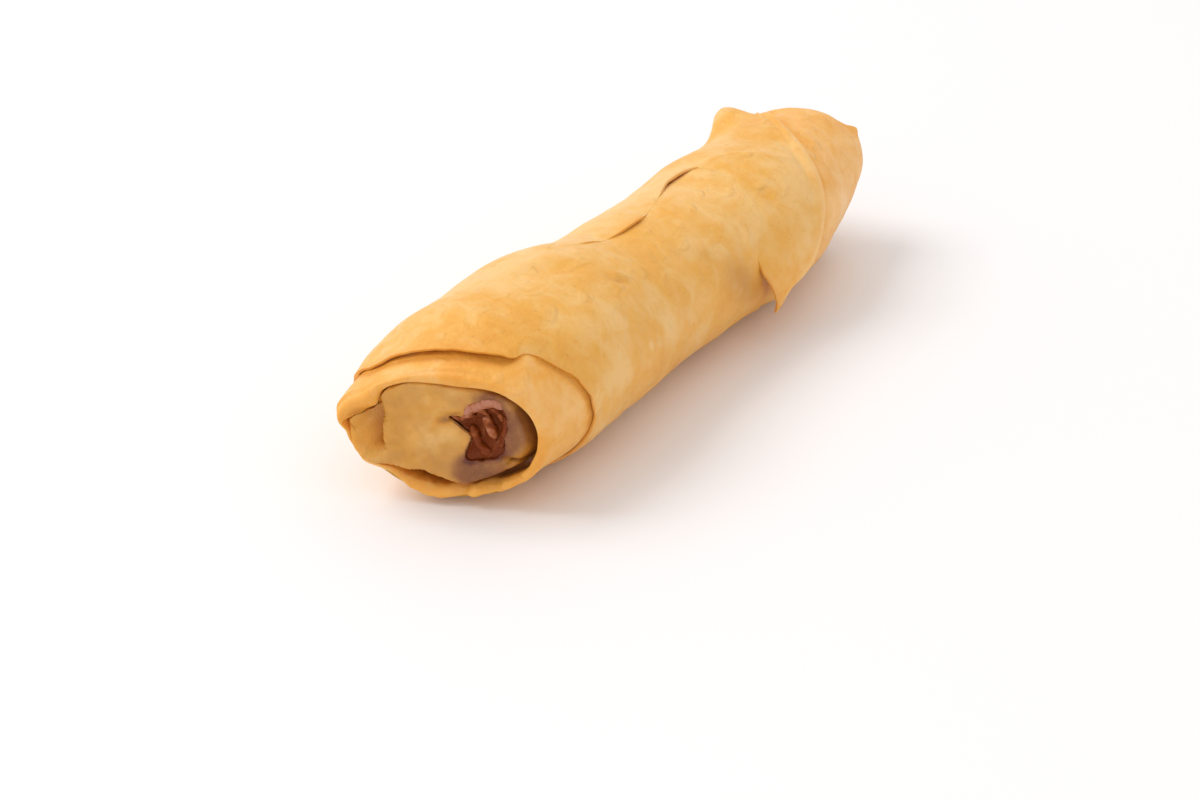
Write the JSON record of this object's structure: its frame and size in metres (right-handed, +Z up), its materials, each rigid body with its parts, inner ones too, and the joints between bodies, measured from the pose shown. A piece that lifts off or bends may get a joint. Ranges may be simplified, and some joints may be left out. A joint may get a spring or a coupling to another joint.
{
  "type": "fried spring roll",
  "caption": "One fried spring roll lying on its side: a golden sheet of crisp pastry rolled round a purple fruit filling, both ends tucked in, one tuck torn open.",
  "frame": {"origin": "bottom centre of the roll's bounding box, on the surface it lies on", "axes": "+X along the roll from its torn end to its tucked end, +Z up"},
  "size_m": [0.1232, 0.0378, 0.0269],
  "materials": {
    "pastry": "fried pastry: golden tan, faintly oily, with fine wrinkles and paler and browner patches",
    "fruit": "soft cooked filling: dark red-purple, moist"
  },
  "bodies": {
    "root": {"wrapper": "pastry", "filling": "fruit"}
  },
  "joints": []
}
